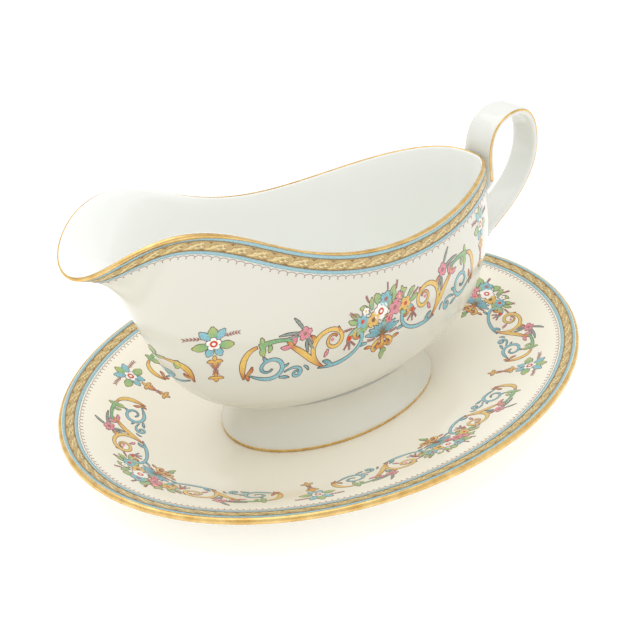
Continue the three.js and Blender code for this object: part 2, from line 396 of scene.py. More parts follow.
# ---- materials
def linear(colour):
    """A colour, not too dark, given as it looks on screen, as the shader wants it."""
    return tuple(((value / 255 + 0.055) / 1.055) ** 2.4 for value in colour)


class Nodes:
    """Short names for the few shader nodes that the finishes use."""

    def __init__(self, name):
        self.material = bpy.data.materials.new(name)
        self.material.use_nodes = True
        self.tree = self.material.node_tree
        self.shader = self.tree.nodes["Principled BSDF"]

    def add(self, kind, **values):
        node = self.tree.nodes.new(kind)
        for key, value in values.items():
            if key in node.inputs:
                node.inputs[key].default_value = value
            else:
                setattr(node, key, value)
        return node

    def link(self, start, end):
        self.tree.links.new(start, end)

    def noise(self, scale, detail):
        where = self.add("ShaderNodeTexCoord")
        noise = self.add("ShaderNodeTexNoise", Scale=scale, Detail=detail)
        self.link(where.outputs["Object"], noise.inputs["Vector"])
        return noise.outputs["Fac"]

    def ramp(self, factor, *stops):
        """A colour that runs from the first of two stops to the second."""
        ramp = self.add("ShaderNodeValToRGB")
        for element, (place, colour) in zip(ramp.color_ramp.elements, stops):
            element.position = place
            element.color = (*colour, 1)
        self.link(factor, ramp.inputs["Fac"])
        return ramp.outputs["Color"]

    def colour(self, factor, deep, pale):
        """Surface colour that goes from deep to pale with the factor."""
        ramp = self.ramp(factor, (0.3, linear(deep)), (0.7, linear(pale)))
        self.link(ramp, self.shader.inputs["Base Color"])

    def roughness(self, factor, least, most):
        """Roughness that goes from the least to the most with the factor."""
        ramp = self.ramp(factor, (0.3, (least,) * 3), (0.7, (most,) * 3))
        self.link(ramp, self.shader.inputs["Roughness"])

    def bump(self, height, strength, distance):
        bump = self.add("ShaderNodeBump", Strength=strength, Distance=distance)
        self.link(height, bump.inputs["Height"])
        self.link(bump.outputs["Normal"], self.shader.inputs["Normal"])

    def set(self, **values):
        for key, value in values.items():
            self.shader.inputs[key.replace("_", " ")].default_value = value


def glaze(name, pale, deep, roughness=0.09):
    """Clear glaze over bone china: slow change of tint and gloss, and a faint ripple."""
    nodes = Nodes(name)
    nodes.colour(nodes.noise(9, 3), deep, pale)
    nodes.roughness(nodes.noise(60, 2), roughness * 0.8, roughness * 1.3)
    nodes.bump(nodes.noise(38, 2), 0.05, 0.001)
    nodes.set(IOR=1.52)
    return nodes.material


def gilt(name, pale, deep, roughness):
    """Burnished gold, slightly uneven in colour and gloss."""
    nodes = Nodes(name)
    nodes.colour(nodes.noise(220, 4), deep, pale)
    nodes.roughness(nodes.noise(700, 3), roughness * 0.7, roughness * 1.5)
    nodes.bump(nodes.noise(900, 2), 0.15, 0.0002)
    nodes.set(Metallic=1.0)
    return nodes.material


ENAMEL_ROUGHNESS = 0.16


def enamel(name, pale, deep, tip=None):
    """Printed enamel under glaze: grainy colour that can turn to another at stroke ends."""
    nodes = Nodes(name)
    colour = nodes.ramp(nodes.noise(1400, 2), (0.35, linear(deep)), (0.62, linear(pale)))
    if tip:
        tone = nodes.add("ShaderNodeAttribute", attribute_name="tone")
        mix = nodes.add("ShaderNodeMix", data_type="RGBA")
        nodes.link(tone.outputs["Fac"], mix.inputs["Factor"])
        nodes.link(colour, mix.inputs[6])
        mix.inputs[7].default_value = (*linear(tip), 1)
        colour = mix.outputs[2]
    nodes.link(colour, nodes.shader.inputs["Base Color"])
    gloss = nodes.noise(500, 2)
    nodes.roughness(gloss, ENAMEL_ROUGHNESS * 0.8, ENAMEL_ROUGHNESS * 1.4)
    nodes.bump(gloss, 0.06, 0.0002)
    return nodes.material


CREAM = glaze("glaze_cream", (243, 238, 222), (238, 232, 214))
IVORY = glaze("glaze_ivory", (223, 221, 209), (218, 215, 201))
# The strap is white china. Its glaze is painted darker and greyer than the white inside the bowl:
# painted shade for the soft shade the strap sits in.
STRAP_WHITE_PAINTED_SHADE = glaze("glaze_strap_painted_shade", (227, 228, 222), (221, 222, 215), 0.08)
WHITE = glaze("glaze_white", (248, 249, 245), (244, 245, 240), 0.07)
GOLD = gilt("gilt_bright", (234, 202, 138), (206, 166, 98), 0.24)
BAND = enamel("enamel_band_tan", (200, 172, 116), (178, 150, 96))
# Each colour as pale grains and deep grains, and for some the colour of stroke ends.
ENAMEL_COLOURS = {
    "yellow": ((234, 198, 112), (222, 180, 92), (186, 90, 62)),
    "blue": ((146, 196, 204), (122, 178, 190), (88, 132, 140)),
    "line_blue": ((160, 196, 202), (142, 182, 190)),
    "green": ((136, 184, 134), (104, 160, 118), (182, 190, 112)),
    "red": ((214, 84, 44), (196, 66, 34)),
    "pink": ((226, 150, 160), (208, 118, 132)),
    "white": ((246, 244, 238), (240, 236, 230)),
    "outline": ((112, 76, 56), (90, 60, 46)),
    "mauve": ((176, 146, 140), (156, 122, 118)),
    "brown": ((168, 122, 112), (146, 100, 92)),
    "slate": ((146, 160, 152), (120, 138, 134)),
    "leaf": ((228, 208, 154), (214, 190, 132)),
    "umber": ((140, 108, 66), (116, 88, 54)),
}
ENAMELS = {name: enamel(f"enamel_{name}", *row) for name, row in ENAMEL_COLOURS.items()}
LINE_BLUE = ENAMELS["line_blue"]


# ---- china
def make_stand():
    around = angles(AROUND)
    rings = []
    for inset in np.linspace(DISH_WIDTH + 14, STAND_EDGE_RADIUS + 0.4, 60):
        rings.append(stand_point(around, inset, dish_height(inset)))
    for turn in np.radians(np.linspace(80, -80, 13)):
        rings.append(stand_point(around, *stand_profile(STAND_EDGE_RADIUS * turn)))
    for inset in np.linspace(STAND_EDGE_RADIUS + 0.6, RING_INSET - 1.2, 36):
        rings.append(stand_point(around, inset, dish_height(inset) - STAND_WALL))
    # Section of the foot ring, as distance in from its outer side and height.
    shoulder = float(dish_height(RING_INSET)) - STAND_WALL - 0.2
    section = [
        (-0.5, shoulder), (-0.15, shoulder - 0.3), (0, shoulder - 0.9), (0.1, 0.5), (0.3, 0.15),
        (0.8, 0), (RING_WIDTH - 0.8, 0), (RING_WIDTH - 0.3, 0.15), (RING_WIDTH - 0.1, 0.5),
        (RING_WIDTH, 1.2), (RING_WIDTH + 0.3, 1.7), (RING_WIDTH + 0.9, WELL_UNDERSIDE),
        (RING_WIDTH + 3, WELL_UNDERSIDE), (RING_WIDTH + 12, WELL_UNDERSIDE),
    ]
    for inset, height in section:
        rings.append(stand_point(around, RING_INSET + inset, height))
    ring_object("stand_dish", rings, False, [CREAM], *STAND, ["underplate"])


def make_foot():
    around = angles(FOOT_AROUND)
    rings = []

    def add_ring(face_height, inward, height):
        point, normal = foot_skin(around, face_height)
        point = point - normal * inward
        point[:, 2] = WELL_TOP + height
        rings.append(point)

    # Rounded lower edge, outside, and then the inside from the top down.
    for height in (0, 0.12, 0.35):
        add_ring(0.5, (0.35 - height) * 0.9, height)
    low_rows = np.linspace(0.6, FOOT_SPAN - 2.4, 22)
    high_rows = np.linspace(FOOT_SPAN - 2, FOOT_SPAN + FOOT_OVERLAP, 9)
    rings += [foot_point(around, height) for height in (*low_rows, *high_rows)]
    for height in np.linspace(FOOT_SPAN + FOOT_OVERLAP, 0.5, 14):
        add_ring(min(height, FOOT_SPAN - FOOT_FILLET), FOOT_WALL, height)
    add_ring(0.15, FOOT_WALL, 0.15)
    add_ring(0, FOOT_WALL - 0.4, 0)
    ring_object("boat_foot_ring", rings, True, [IVORY], *FOOT, ["boat_foot"])


def make_bowl():
    around = angles(AROUND)
    ups = np.linspace(0, 1, 81)
    lip = np.radians(np.linspace(20, 160, 8))
    rings = [bowl_point(around, up) for up in ups]
    rings += [over_lip(*bowl_frame(around, np.ones_like(around)), turn) for turn in lip]
    for up in ups[::-1]:
        point, out, rise = bowl_frame(around, np.full_like(around, up))
        near_lip = max((up - 1) / LIP_TAPER + 1, 0) ** 2
        wall = WALL_AT_FLOOR + (WALL_AT_RIM - WALL_AT_FLOOR) * up
        rings.append(point - out * (wall + (LIP_THICKNESS - WALL_AT_RIM) * near_lip))
    glazes = [IVORY, WHITE]
    piece = ring_object("boat_bowl_shell", rings, False, glazes, *BOWL, ["boat_bowl"])
    # The inside is whiter than the outside, from the top of the lip down to the floor.
    first_inside = (len(ups) - 1 + len(lip) // 2) * len(around)
    base_centre = len(piece.data.vertices) - 2
    for polygon in piece.data.polygons:
        corners = polygon.vertices
        inside = min(corners) >= first_inside and max(corners) != base_centre
        polygon.material_index = int(inside)


def strap_line(share):
    """Middle line of the strap in the X-Z plane, and its direction."""
    path = np.array(STRAP_PATH, float)
    last = len(path) - 1
    controls = path.copy()
    controls[1:-1] -= (path[:-2] - 2 * path[1:-1] + path[2:]) / 6
    controls = np.concatenate([[2 * path[0] - path[1]], controls, [2 * path[-1] - path[-2]]])

    def at(s):
        place = np.clip(s, 0, 1) * last
        i = np.minimum(place.astype(int), last - 1)
        parts = [controls[i + n] for n in range(4)]
        return blend(*parts, (place - i)[:, None])

    return at(share), unit(at(share + SMALL_SHARE) - at(share - SMALL_SHARE))


def strap_places():
    """Share of the way along the strap, middle point and direction of its thickness."""
    share = np.linspace(0, 1, STRAP_STEPS)
    centre, along = strap_line(share)
    return list(zip(share, centre, np.stack([along[:, 1], -along[:, 0]], -1)))


def strap_ring(share, centre, thick, around, lift=0.0):
    """Points round the strap at one place on it; angle 0 is the middle of an edge."""
    root = max(1 - share / 0.16, 0) ** 2
    tip = max((share - 0.88) / 0.12, 0) ** 2
    upper = min(max((0.45 - share) / 0.35, 0), 1)
    upper = upper * upper * (3 - 2 * upper)
    lower = max((share - 0.7) / 0.3, 0) ** 2
    half_width = STRAP_HALF_WIDTH - 0.3 + 0.8 * upper + 1.6 * lower + 1.5 * root + 0.3 * tip
    half_thick = STRAP_HALF_THICKNESS - 0.1 + 0.3 * root + 0.5 * tip
    c, s = np.cos(around), np.sin(around)
    wide = (half_width + lift) * np.sign(c) * np.abs(c) ** 0.42
    deep = (half_thick + lift) * np.sign(s) * np.abs(s) ** 0.62
    return np.stack([centre[0] + thick[0] * deep, wide, centre[1] + thick[1] * deep], -1)


def shrunk(ring, x_share, z_share, reach, drop=0.0):
    """A copy of an end ring, smaller and further into the wall of the bowl."""
    middle = ring.mean(0)
    y_share = (1 + min(x_share, z_share)) / 2
    return middle + (ring - middle) * (x_share, y_share, z_share) - (reach, 0, drop)


def make_handle():
    rings = [strap_ring(*place, angles(STRAP_AROUND)) for place in strap_places()]
    # Both ends sink into the wall of the bowl.
    start = [
        shrunk(rings[0], 0.3, 1, 3.0, 6.2),
        shrunk(rings[0], 0.6, 1, 2.0, 4.6),
        shrunk(rings[0], 0.85, 1, 0.8, 2.4),
    ]
    end = [shrunk(rings[-1], 1, 0.8, 1.2), shrunk(rings[-1], 1, 0.5, 2.2)]
    rings = start + rings + end
    ring_object("boat_strap", rings, False, [STRAP_WHITE_PAINTED_SHADE], *HANDLE, ["boat_handle"])


make_stand()
make_foot()
make_bowl()
make_handle()


# ---- gilding and border lines
class Course:
    """A line round a surface. Places are given by distance along it and down from it."""

    STEP = 0.5

    def __init__(self, skin, base, upward, downward):
        """base gives the line; upward and downward are how far places may be from it."""
        self.skin = skin
        # Two turns, so that a place on either side of the handle or the spout can be read.
        angle = np.linspace(-2 * math.pi, 2 * math.pi, 5761)
        line = skin(angle, base(angle))[0]
        along = np.concatenate([[0], np.cumsum(np.linalg.norm(np.diff(line, axis=0), axis=1))])
        along -= np.interp(0, angle, along)
        self.along, self.angle = along, angle
        self.girth = np.interp(2 * math.pi, angle, along)
        self.stations = np.linspace(along[0], along[-1], 2401)
        start = np.interp(self.stations, along, angle)
        above = self.march(start, base(start), -self.STEP, math.ceil(upward / self.STEP))
        below = self.march(start, base(start), self.STEP, math.ceil(downward / self.STEP))
        self.first_down = -len(above) * self.STEP
        rows = above[::-1] + [(start, base(start))] + below
        self.angles = np.array([row[0] for row in rows])
        self.drops = np.array([row[1] for row in rows])

    def march(self, angle, drop, step, count):
        """Lines that run side by side with the first one, each a step from the last."""
        rows = []
        turn, slip = 0.01, 0.4
        for _ in range(count):
            point, normal = self.skin(angle, drop)
            across = unit(np.cross(normal, unit(np.gradient(point, axis=0))))
            by_angle = self.skin(angle + turn, drop)[0] - self.skin(angle - turn, drop)[0]
            by_drop = self.skin(angle, drop + slip)[0] - self.skin(angle, drop - slip)[0]
            by_angle, by_drop = by_angle / (2 * turn), by_drop / (2 * slip)
            across *= step * np.sign(np.sum(across * by_drop, -1, keepdims=True))
            # The changes of angle and drop whose joint effect is one step across.
            aa = np.sum(by_angle * by_angle, -1)
            ad = np.sum(by_angle * by_drop, -1)
            dd = np.sum(by_drop * by_drop, -1)
            a, d = np.sum(by_angle * across, -1), np.sum(by_drop * across, -1)
            share = aa * dd - ad * ad
            angle = angle + (a * dd - d * ad) / share
            drop = drop + (d * aa - a * ad) / share
            rows.append((angle, drop))
        return rows

    def at(self, degrees):
        """Distance along the line at this angle."""
        return float(np.interp(math.radians(degrees), self.angle, self.along))

    def place(self, along, down):
        """Angle and drop on the surface at a distance along the line and down from it."""
        along, down = paired(along, down)
        column = (along - self.stations[0]) / (self.stations[1] - self.stations[0])
        row = (down - self.first_down) / self.STEP
        return [read_table(table, row, column) for table in (self.angles, self.drops)]


def level(height):
    """A base line for a course: a level line on the bowl, as distance down from the rim."""
    stations = TABLE_ANGLES[::4]
    drops = np.linspace(0, 120, 481)
    found = []
    for angle in stations:
        heights = bowl_skin(np.full_like(drops, angle), drops)[0][:, 2]
        found.append(np.interp(-height, -heights, drops))

    return lambda angle: np.interp(
        np.arctan2(np.sin(angle), np.cos(angle)), stations, found
    )


def steady(drop):
    """A base line for a course: the same distance down from the rim or edge all round."""
    return lambda angle: np.full_like(angle, drop)


# On the stand the distance over the rounded edge to the flat face is longer than the inset.
EDGE_WRAP = STAND_EDGE_RADIUS * (math.pi / 2 - 1)
BELLY_LINE_HEIGHT = 50.0
EDGE_LINE = 4.0
DISH_LINE = 32.0
RIM_COURSE = Course(bowl_skin, steady(0.0), 0.0, 13.0)
BELLY_COURSE = Course(bowl_skin, level(BELLY_LINE_HEIGHT), 32.0, 14.0)
EDGE_COURSE = Course(stand_skin, steady(EDGE_WRAP + EDGE_LINE), 3.0, 8.0)
DISH_COURSE = Course(stand_skin, steady(EDGE_WRAP + DISH_LINE), 26.0, 18.0)

# Border lines, by distance down from the rim of the boat or in from the edge of the stand.
RIM_GILDING = 0.4
RIM_BORDER = [(0.45, 1.1, 1.7), (1.75, 2.8, 3.9, 5, 6.0), (6.05, 6.7, 7.4)]
STAND_BORDER = [(1.6, 2.1, 2.6), (2.7, 3.7, 4.7, 5.5, 6.3), (6.4, 7.0, 7.6)]
GILDING_LIFT = 0.07
TAN_LIFT = 0.04


def make_border(names, skin, lines, part):
    """Two light blue lines with a tan band between them."""
    band(names[0], skin, lines[0], LINE_BLUE, *part)
    band(names[1], skin, lines[1], BAND, *part, TAN_LIFT)
    band(names[2], skin, lines[2], LINE_BLUE, *part)


def make_rim_border():
    over_rim = -np.linspace(0, 0.66 * math.pi * LIP_ROUND, 10)
    gilding = course_lines(RIM_COURSE, [RIM_GILDING]) + skin_lines(over_rim)
    band("boat_rim_gilding", bowl_skin, gilding, GOLD, *BOWL, GILDING_LIFT)
    names = ("boat_rim_line_upper", "boat_rim_band", "boat_rim_line_lower")
    lines = [course_lines(RIM_COURSE, downs) for downs in RIM_BORDER]
    make_border(names, bowl_skin, lines, BOWL)


def make_foot_gilding():
    lines = skin_lines(np.linspace(0.15, 1.35, 6))
    band("boat_foot_gilding", foot_skin, lines, GOLD, *FOOT)


def make_stand_border():
    gilding = skin_lines(np.linspace(-0.5, 2.2, 12))
    band("stand_edge_gilding", stand_skin, gilding, GOLD, *STAND, GILDING_LIFT)
    names = ("stand_line_outer", "stand_band", "stand_line_inner")
    lines = [skin_lines(np.add(EDGE_WRAP, insets)) for insets in STAND_BORDER]
    make_border(names, stand_skin, lines, STAND)


def make_strap_gilding():
    """Gold lines along both edges of the strap, as far as its lower end."""
    vertices, faces = [], []
    places = [place for place in strap_places() if place[0] < 0.95]
    width = np.radians(np.linspace(-30, -4, 6))
    for around in (width, math.pi - width):
        rings = []
        for place in places:
            over = strap_ring(*place, around, GILDING_LIFT)
            rings.append(np.concatenate([over, strap_ring(*place, around[::-1], -0.2)]))
        start = len(vertices)
        side_vertices, side_faces = closed_skin(rings, False)
        vertices.extend(side_vertices)
        faces.extend(tuple(start + i for i in face) for face in side_faces)
    make_object("boat_strap_gilding", vertices, faces, [GOLD], *HANDLE)


make_rim_border()
make_foot_gilding()
make_stand_border()
make_strap_gilding()


# ---- enamel drawing
# Height of each layer of enamel above the china, and how far every shape reaches into it.
LIFTS = (0.05, 0.08, 0.105, 0.13, 0.15)
SINK = 0.1
# Strokes are a little slimmer than drawn, with a dark line round them.
SLIM = 0.88
OUTLINE_WIDTH = 0.27
THINNEST_HALF = 0.04


def curl(x, y, heading, length, *turns, count=26):
    """A line that starts at x, y. Its turning rate, in degrees over its whole length,
    goes evenly through the given values."""
    rate = np.interp(np.linspace(0, 1, count), np.linspace(0, 1, len(turns)), turns)
    steps = (rate[1:] + rate[:-1]) / 2 / (count - 1)
    headings = np.radians(heading + np.concatenate([[0], np.cumsum(steps)]))
    middle = (headings[1:] + headings[:-1]) / 2
    step = length / (count - 1)
    xs = x + np.concatenate([[0], np.cumsum(np.cos(middle) * step)])
    ys = y + np.concatenate([[0], np.cumsum(np.sin(middle) * step)])
    return np.stack([xs, ys], -1)


class Drawing:
    """Thin closed enamel shapes on one surface, gathered by colour."""

    def __init__(self, skin, prefix, part):
        self.skin, self.prefix, self.part = skin, prefix, part
        self.shapes = {}

    def frame(self, course, along, down, size=1.0, height=None, side=1):
        """Later shapes are drawn about this place, to this size, perhaps mirrored."""
        self.course, self.along, self.down = course, along, down
        self.size, self.height, self.side = size, height or size, side

    def keep(self, colour, points, lift, tone, faces):
        """points are (x, y) pairs; lift and tone have one value each."""
        along = self.along + self.side * self.size * points[:, 0]
        down = self.down - self.height * points[:, 1]
        angle, drop = self.course.place(along, down)
        rows, all_faces = self.shapes.setdefault(colour, ([], []))
        start = sum(len(row) for row in rows)
        rows.append(np.stack([angle, drop, lift, tone], -1))
        all_faces.extend(tuple(start + i for i in face) for face in faces)

    def ribbon(self, colour, line, widths, level, tones=(0, 0), grow=0.0):
        """A strip along a line, with widths and tones at even steps along it."""
        count = len(line)
        share = np.linspace(0, 1, count)
        half = np.interp(share, np.linspace(0, 1, len(widths)), widths) / 2
        half = np.maximum(half, THINNEST_HALF) + grow
        tangent = unit(np.gradient(line, axis=0))
        if grow:
            line = line.copy()
            line[0] -= tangent[0] * grow
            line[-1] += tangent[-1] * grow
        across = np.stack([-tangent[:, 1], tangent[:, 0]], -1)
        left, right = line + across * half[:, None], line - across * half[:, None]
        points = np.stack([left, right, right, left], 1).reshape(-1, 2)
        lift = np.tile([LIFTS[level], LIFTS[level], -SINK, -SINK], count)
        tone = np.interp(share, np.linspace(0, 1, len(tones)), tones).repeat(4)
        faces = []
        for j in range(count - 1):
            a, b = 4 * j, 4 * j + 4
            faces += [(a + i, a + (i + 1) % 4, b + (i + 1) % 4, b + i) for i in range(4)]
        faces += [(0, 1, 2, 3), tuple(4 * (count - 1) + i for i in (3, 2, 1, 0))]
        self.keep(colour, points, lift, tone, faces)

    def stroke(self, colour, line, widths, tones=(0, 0), level=1):
        widths = [SLIM * w for w in widths]
        self.ribbon("outline", line, widths, level - 1, grow=OUTLINE_WIDTH)
        self.ribbon(colour, line, widths, level, tones)

    def disc(self, colour, x, y, radius, level=2, count=14):
        turn = np.linspace(0, 2 * math.pi, count, endpoint=False)
        ring = np.stack([x + radius * np.cos(turn), y + radius * np.sin(turn)], -1)
        points = np.concatenate([ring, ring])
        lift = np.repeat([LIFTS[level], -SINK], count)
        faces = [tuple(range(count)), tuple(range(2 * count - 1, count - 1, -1))]
        for i in range(count):
            k = (i + 1) % count
            faces.append((i, k, count + k, count + i))
        self.keep(colour, points, lift, np.zeros(2 * count), faces)

    def petals(self, colour, tones, *shapes):
        """Single leaves, each as x, y, heading, length, width and turn."""
        for x, y, heading, length, width, turn in shapes:
            line = curl(x, y, heading, length, turn, count=9)
            widths = [share * width for share in (0.3, 0.8, 1, 0.85, 0.12)]
            self.stroke(colour, line, widths, tones)

    def flower(self, x, y, radius, petals, colour, heart, start=90, level=1):
        for n in range(petals):
            heading = start + 360 * n / petals
            turn = math.radians(heading)
            root = (x + 0.2 * radius * math.cos(turn), y + 0.2 * radius * math.sin(turn))
            line = curl(*root, heading, radius * 0.85, 0, count=7)
            widths = [share * radius for share in (0.35, 0.75, 0.95, 0.9, 0.45)]
            self.stroke(colour, line, widths, (0.2, 0), level)
        self.disc(heart, x, y, radius * 0.34, level + 1)

    def target(self, x, y, radius, inner):
        """The red ring and white eye of a large blossom."""
        self.disc("red", x, y, radius, 3)
        self.disc("white", x, y, inner, 4)

    def twig(self, x, y, heading, length, turn=0):
        """A thin brown stem with small leaves in pairs."""
        length = length * 0.82
        line = curl(x, y, heading, length, turn, count=12)
        self.ribbon("brown", line, [0.32, 0.26, 0.12], 1)
        for n in (3, 5, 7, 9, 11):
            ahead = line[n] - line[n - 1]
            facing = math.degrees(math.atan2(ahead[1], ahead[0]))
            for side in (-1, 1):
                leaf = curl(*line[n], facing + side * 38, length * 0.22, 0, count=5)
                self.ribbon("brown", leaf, [0.2, 0.6, 0.45, 0.1], 1)

    def finish(self):
        """Makes one object of all the shapes of each colour."""
        for colour, (rows, faces) in self.shapes.items():
            angle, drop, lift, tone = np.concatenate(rows).T
            point, normal = self.skin(angle, drop)
            vertices = point + normal * lift[:, None]
            name = f"{self.prefix}_enamel_{colour}"
            piece = make_object(name, vertices, faces, [ENAMELS[colour]], *self.part)
            tones = piece.data.attributes.new("tone", "FLOAT", "POINT")
            tones.data.foreach_set("value", tone.astype(np.float32))
            piece.data.set_sharp_from_angle(angle=math.radians(50))


# How far a leaf has turned to its second colour, at its root and at its tip.
PLAIN = (0, 0)
TO_TIP = (0, 0.8)
TO_LEAF_TIP = (0, 0.9)


def draw_arch(d):
    """The outer end of a spray: an arch of a yellow and a green leaf over a blue scroll."""
    d.stroke(
        "blue", curl(58.6, 3.9, 214, 35, -60, -110, -400, -450, -420, -480, -800, -1000, count=44),
        [0.4, 1.5, 1.8, 1.6, 1.5, 1.3, 1.1, 0.7], (0.7, 0, 0, 0, 0.2, 0.7),
    )
    d.petals("blue", TO_TIP, (46.8, 0.4, 184, 4.0, 1.5, 20), (52.2, 9.6, 62, 2.6, 1.3, 0),
             (45.4, 5.2, 166, 2.4, 1.1, -30))
    d.stroke(
        "blue", curl(44.8, 2.6, 150, 16.5, 60, 220, 420, 720, 900, count=26),
        [0.4, 1.0, 1.4, 1.2, 0.6], (0.5, 0, 0, 0.6),
    )
    d.petals("blue", TO_TIP, (36.6, 3.2, 214, 3.2, 1.0, 40))
    d.disc("blue", 38.4, 0.5, 0.6, 1)
    d.stroke(
        "green", curl(54.9, 17.3, 168, 13.8, 10, 40, 60, 30), [2.2, 2.1, 1.6, 1.3, 0.8], (0.4, 0, 0)
    )
    d.petals("green", TO_LEAF_TIP, (54.2, 17.4, 112, 3.6, 1.7, -40),
             (53.0, 17.2, -62, 5.0, 2.6, -50), (50.8, 17.0, -100, 3.4, 1.7, 30))
    d.stroke(
        "yellow", curl(60.9, 2.6, 80, 17, 20, 50, 110, 210),
        [0.3, 1.5, 2.2, 2.4, 2.2, 1.8, 1.2], (1, 0.4, 0, 0, 0, 0.5),
    )
    d.petals("yellow", (0.4, 1), (59.9, 4.6, 150, 4.4, 1.6, -60))
    d.petals("yellow", (0.5, 1), (60.0, 4.4, -118, 3.0, 1.3, 20))


def draw_half_spray(d):
    draw_arch(d)
    # Long blue stem that runs under the junction and curls up beside the basket.
    d.stroke(
        "blue", curl(30.6, 0.1, 190, 37.5, -40, -60, -110, -130, -200, -500, -650, -600, -760,
                     count=44),
        [0.3, 1.3, 1.7, 1.5, 1.3, 1.5, 1.7, 1.4, 0.9, 0.6], (0.8, 0, 0, 0, 0, 0.6),
    )
    d.petals("blue", TO_TIP, (25.6, -0.2, 78, 4.4, 1.9, -70), (24.4, -0.3, 34, 3.4, 1.6, 40),
             (8.2, 3.4, 20, 3.2, 1.4, -40))
    # Stem with a flared head, and its branch that ends in a spiral.
    d.stroke(
        "yellow", curl(28.4, 0.0, 38, 20, 40, 20, -30, 10), [0.5, 1.5, 2.3, 2.5, 2.2, 1.3],
        (1, 0.3, 0, 0, 0.2, 0.8),
    )
    d.petals("pink", PLAIN, (41.0, 14.4, 104, 4.2, 2.1, -50), (42.0, 14.2, -22, 4.6, 2.1, 50))
    d.petals("yellow", (0.2, 0.9), (41.6, 14.4, 40, 3.0, 1.6, 0))
    d.stroke(
        "yellow", curl(29.3, 1.0, 44, 44.5, 140, 240, 350, 370, 350, 450, 800, 760, 950, 1500,
                       count=60),
        [0.6, 1.5, 2.0, 2.0, 1.8, 1.8, 1.6, 1.4, 1.1, 0.7], (0.9, 0.1, 0, 0, 0, 0, 0, 0.2, 0.9),
    )
    d.petals("yellow", (0, 1), (32.4, 12.4, 92, 4.0, 1.8, -50))
    d.petals("yellow", (0.2, 1), (20.8, 13.2, 58, 3.0, 1.2, 30))
    d.petals("pink", PLAIN, (26.6, 7.4, -78, 3.2, 1.6, 30))
    d.disc("pink", 24.6, 11.2, 0.8, 2)
    # Pink blossom among slim leaves, and a red bud over brown twigs.
    d.petals("slate", PLAIN, (37.0, 19.4, 66, 7.4, 1.2, -16), (38.2, 18.6, 16, 9.0, 1.3, -18),
             (38.4, 17.6, -4, 6.4, 1.0, 14), (35.4, 16.0, -104, 7.4, 1.3, -20),
             (35.2, 9.4, 70, 6.2, 1.2, 30))
    d.flower(36.5, 17.8, 2.7, 5, "pink", "brown")
    for heading in (-56, -92, -132):
        d.twig(16.8, 8.0, heading, 4.6)
    d.disc("red", 16.8, 8.8, 1.2, 2)
    # Yellow garland round the posy.
    d.stroke(
        "yellow", curl(11.8, 7.8, -30, 17.5, 600, 560, 200, 10, -40, 0, count=36),
        [0.7, 1.5, 1.9, 1.8, 1.5, 1.0, 0.5], (0.9, 0.1, 0, 0, 0.4),
    )
    # Side of the basket, and the scrolled foot below it.
    for heading, length in ((80, 5.4), (58, 6.4), (38, 7.6), (20, 8.6)):
        d.petals("blue", (0.9, 0), (0.4, 4.6, heading, length, 2.3, -12))
    d.stroke(
        "yellow", curl(0.6, 3.4, -34, 10.5, 40, 0, -300, -620, -800, count=24),
        [0.6, 1.5, 1.5, 1.1, 0.6], (0.9, 0, 0.2, 1),
    )
    d.petals("yellow", (0.2, 1), (5.6, 0.6, 24, 3.4, 1.3, -30))
    d.stroke("yellow", curl(0.2, 0.6, -60, 4.6, 0, 300, 500), [1.2, 1.4, 0.6], (0, 0.9))
    d.twig(2.6, 4.0, -8, 5.6, 20)


POSY = [
    # x, y, radius, petals, colour, heart, first petal
    (-10.3, 13.8, 2.8, 5, "blue", "red", 70),
    (-4.8, 12.6, 3.0, 5, "yellow", "umber", 90),
    (6.7, 13.6, 3.1, 5, "pink", "brown", 80),
    (1.9, 19.0, 3.0, 5, "blue", "brown", 60),
    (12.8, 13.0, 2.7, 5, "yellow", "red", 120),
    (-0.8, 14.8, 3.5, 6, "white", "red", 100),
    (3.4, 10.0, 1.8, 5, "pink", "red", 90),
    (-8.6, 17.6, 1.6, 5, "white", "yellow", 30),
    (9.4, 17.4, 1.8, 5, "pink", "yellow", 20),
]
POSY_LEAVES = [
    # x, y, heading, length
    (-12, 12, 196, 5.2), (-12.4, 14, 166, 5.0), (-11.6, 15.6, 136, 4.8), (-9.4, 10.8, 214, 4.2),
    (-6.6, 16, 128, 5.6), (-5.4, 17.2, 100, 5.0), (-7.6, 18.4, 150, 4.0), (-2.2, 18.4, 112, 4.6),
    (-0.6, 20.4, 138, 3.8), (4.4, 19.8, 52, 4.6), (5.6, 16.4, 64, 5.4), (8.8, 17, 36, 5.4),
    (11, 15.4, 78, 5.6), (14.2, 15, 50, 5.2), (15, 13, 6, 5.0), (14, 11, -30, 4.2),
    (9.8, 10.6, -40, 3.8), (2.6, 14.8, 60, 3.6), (-8, 12, 230, 3.4), (1.2, 11, -80, 3.2),
]
POSY_TWIGS = [
    (-12, 16, 142, 7.4), (-14.4, 12.6, 178, 6.4), (-6.6, 19.8, 112, 5.8), (3.2, 21.4, 88, 5.4),
    (7.4, 20, 74, 6.2), (16.4, 14.8, 24, 6.2), (15.2, 9.6, -24, 5.2),
]


def draw_posy(d):
    for *place, length in POSY_TWIGS:
        d.twig(*place, 0.8 * length)
    for n, leaf in enumerate(POSY_LEAVES):
        d.petals("green", TO_LEAF_TIP, (*leaf, 2.3, 24 * (-1) ** n))
    for blossom in POSY:
        d.flower(*blossom, level=2)
    d.target(-0.8, 14.8, 1.5, 0.65)
    d.petals("green", TO_TIP, (0.3, -2.4, -94, 4.6, 2.6, 0), (0.6, -2.2, -50, 2.6, 1.4, 0))
    d.petals("blue", (0.9, 0), (0, 4.4, 90, 5.8, 2.4, 0))
    d.stroke("yellow", curl(0, 4.4, -90, 6.6, 0), [1.2, 1.9, 1.5], (0.9, 0.2, 0.8), level=2)
    d.stroke("umber", curl(-2.4, 4.6, 0, 4.8, 0), [0.5, 1.2, 0.5], level=2)
    for heading in (50, 72, 90, 108, 130):
        d.ribbon("umber", curl(0, 4.6, heading, 4.0, 0, count=5), [0.8, 0.5, 0.1], 2)


